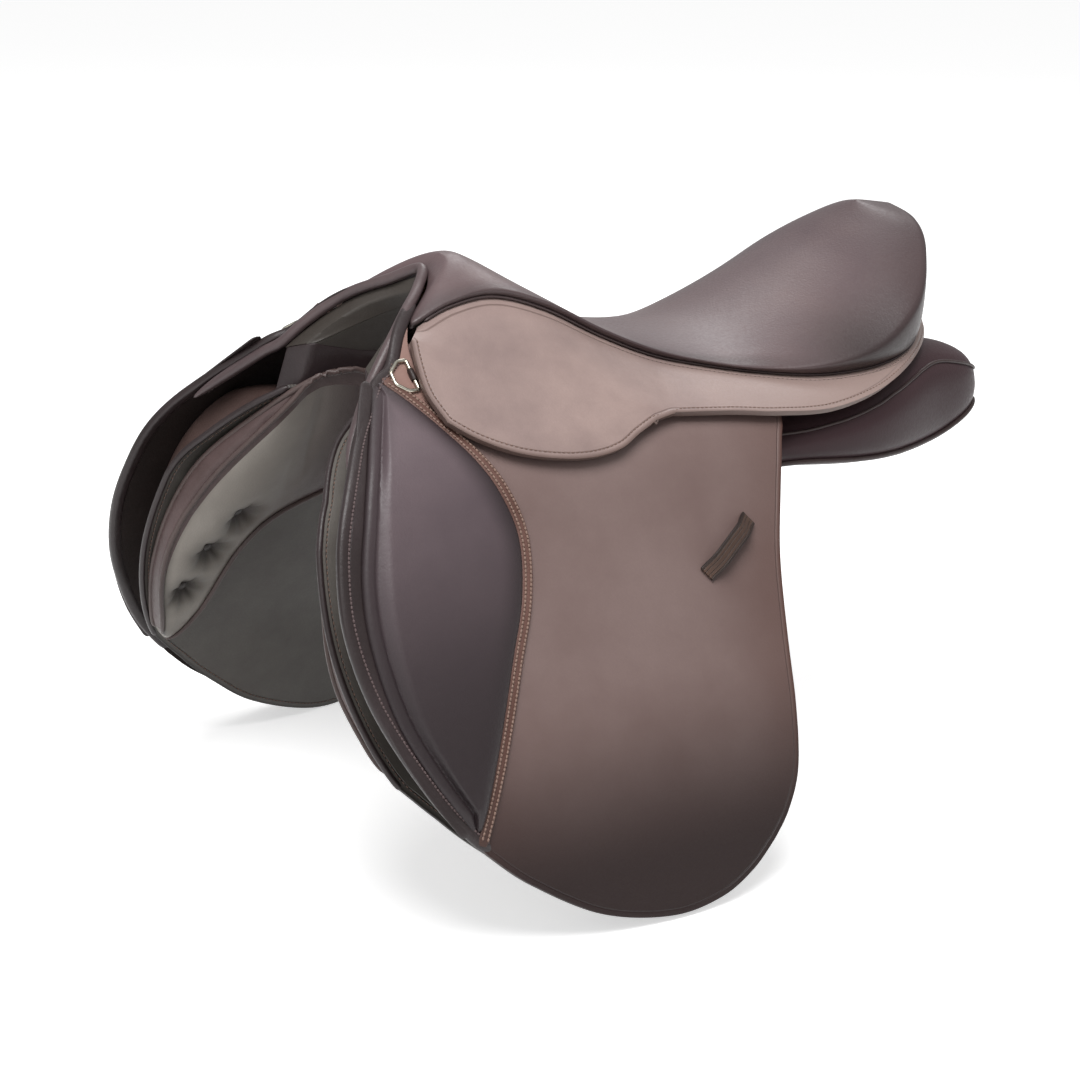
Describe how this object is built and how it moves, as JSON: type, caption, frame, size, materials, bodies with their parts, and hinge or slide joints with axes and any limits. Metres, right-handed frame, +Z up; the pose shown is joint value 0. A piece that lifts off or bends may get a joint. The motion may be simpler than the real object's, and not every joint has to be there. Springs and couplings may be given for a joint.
{
  "type": "english saddle",
  "caption": "English general purpose riding saddle with a deep seat, forward cut flaps with knee pads, skirts over stirrup bars, stuffed panels and girth billets.",
  "frame": {"origin": "on the centre line, level with the lowest place of the two panels and below the lowest place of the seat's waist, where a horse's back or a saddle rack carries the saddle", "axes": "+X to the rear (cantle), -X to the front (pommel), -Y to the left or near side, +Y to the right or off side, +Z up"},
  "size_m": [0.6335, 0.5344, 0.4242],
  "materials": {
    "seat_leather": "smooth, satin",
    "skirt_leather": "smooth, satin",
    "flap_leather": "smooth, satin",
    "pad_leather": "smooth, satin",
    "panel_leather": "soft leather over wool flock, satin",
    "webbing": "woven",
    "foam": "closed cell foam",
    "laminated_wood": "laminated, lacquered",
    "steel": "satin",
    "nickel_silver": "polished"
  },
  "bodies": {
    "saddle": {"seat_cover": "seat_leather", "seat_foam": "foam", "tree": "laminated_wood", "skirt_left": "skirt_leather", "skirt_right": "skirt_leather", "flap_top_left": "flap_leather", "flap_top_right": "flap_leather", "knee_pad_top_left": "pad_leather", "knee_pad_top_right": "pad_leather", "sweat_flap_left": "flap_leather", "sweat_flap_right": "flap_leather", "knee_block_left": "flap_leather", "knee_block_right": "flap_leather", "panel_left": "panel_leather", "panel_right": "panel_leather", "girth_web_left": "webbing", "girth_web_right": "webbing", "head_plate": "steel", "stirrup_bar_left": "steel", "bar_rivet_front_left": "steel", "bar_rivet_rear_left": "steel", "stirrup_bar_right": "steel", "bar_rivet_front_right": "steel", "bar_rivet_rear_right": "steel", "ring_tab_left": "flap_leather", "ring_tab_right": "flap_leather", "pommel_welt": "skirt_leather", "head_facing": "panel_leather", "gullet_lining": "panel_leather"},
    "flap_left": {"flap_left": "flap_leather", "knee_pad_left": "pad_leather", "keeper_left": "flap_leather"},
    "skirt_lobe_left": {"skirt_lobe_left": "skirt_leather"},
    "bar_catch_left": {"bar_catch_left": "steel"},
    "d_ring_left": {"d_ring_left": "nickel_silver"},
    "billet_front_left": {"billet_front_left": "flap_leather"},
    "billet_middle_left": {"billet_middle_left": "flap_leather"},
    "billet_rear_left": {"billet_rear_left": "flap_leather"},
    "flap_right": {"flap_right": "flap_leather", "knee_pad_right": "pad_leather", "keeper_right": "flap_leather"},
    "skirt_lobe_right": {"skirt_lobe_right": "skirt_leather"},
    "bar_catch_right": {"bar_catch_right": "steel"},
    "d_ring_right": {"d_ring_right": "nickel_silver"},
    "billet_front_right": {"billet_front_right": "flap_leather"},
    "billet_middle_right": {"billet_middle_right": "flap_leather"},
    "billet_rear_right": {"billet_rear_right": "flap_leather"}
  },
  "joints": [
    {"name": "flap_lift_left", "type": "hinge", "parent": "saddle", "child": "flap_left", "pos_m": [-0.1467, -0.15096, 0.05155], "axis": [-1, 0, 0], "range_deg": [0, 85]},
    {"name": "skirt_lift_left", "type": "hinge", "parent": "saddle", "child": "skirt_lobe_left", "pos_m": [-0.13875, -0.10172, 0.11157], "axis": [-0.8892, 0.3343, 0.3124], "range_deg": [0, 80]},
    {"name": "bar_catch_turn_left", "type": "hinge", "parent": "saddle", "child": "bar_catch_left", "pos_m": [-0.10195, -0.0968, 0.0897], "axis": [0, 0.7314, 0.682], "range_deg": [0, 80]},
    {"name": "d_ring_turn_left", "type": "hinge", "parent": "saddle", "child": "d_ring_left", "pos_m": [-0.2345, -0.08089, 0.12176], "axis": [0, 0.7314, 0.682], "range_deg": [0, 70]},
    {"name": "billet_swing_front_left", "type": "hinge", "parent": "saddle", "child": "billet_front_left", "pos_m": [-0.115, -0.15083, 0.02213], "axis": [0, -0.8988, 0.4384], "range_deg": [-12, 8]},
    {"name": "billet_swing_middle_left", "type": "hinge", "parent": "saddle", "child": "billet_middle_left", "pos_m": [-0.081, -0.14607, 0.01981], "axis": [0, -0.8988, 0.4384], "range_deg": [-8, 8]},
    {"name": "billet_swing_rear_left", "type": "hinge", "parent": "saddle", "child": "billet_rear_left", "pos_m": [-0.047, -0.15083, 0.02213], "axis": [0, -0.8988, 0.4384], "range_deg": [-8, 12]},
    {"name": "flap_lift_right", "type": "hinge", "parent": "saddle", "child": "flap_right", "pos_m": [-0.1467, 0.15096, 0.05155], "axis": [1, 0, 0], "range_deg": [0, 85]},
    {"name": "skirt_lift_right", "type": "hinge", "parent": "saddle", "child": "skirt_lobe_right", "pos_m": [-0.13875, 0.10172, 0.11157], "axis": [0.8892, 0.3343, -0.3124], "range_deg": [0, 80]},
    {"name": "bar_catch_turn_right", "type": "hinge", "parent": "saddle", "child": "bar_catch_right", "pos_m": [-0.10195, 0.0968, 0.0897], "axis": [0, 0.7314, -0.682], "range_deg": [0, 80]},
    {"name": "d_ring_turn_right", "type": "hinge", "parent": "saddle", "child": "d_ring_right", "pos_m": [-0.2345, 0.08089, 0.12176], "axis": [0, 0.7314, -0.682], "range_deg": [0, 70]},
    {"name": "billet_swing_front_right", "type": "hinge", "parent": "saddle", "child": "billet_front_right", "pos_m": [-0.115, 0.15083, 0.02213], "axis": [0, 0.8988, 0.4384], "range_deg": [-8, 12]},
    {"name": "billet_swing_middle_right", "type": "hinge", "parent": "saddle", "child": "billet_middle_right", "pos_m": [-0.081, 0.14607, 0.01981], "axis": [0, 0.8988, 0.4384], "range_deg": [-8, 8]},
    {"name": "billet_swing_rear_right", "type": "hinge", "parent": "saddle", "child": "billet_rear_right", "pos_m": [-0.047, 0.15083, 0.02213], "axis": [0, 0.8988, 0.4384], "range_deg": [-12, 8]}
  ]
}
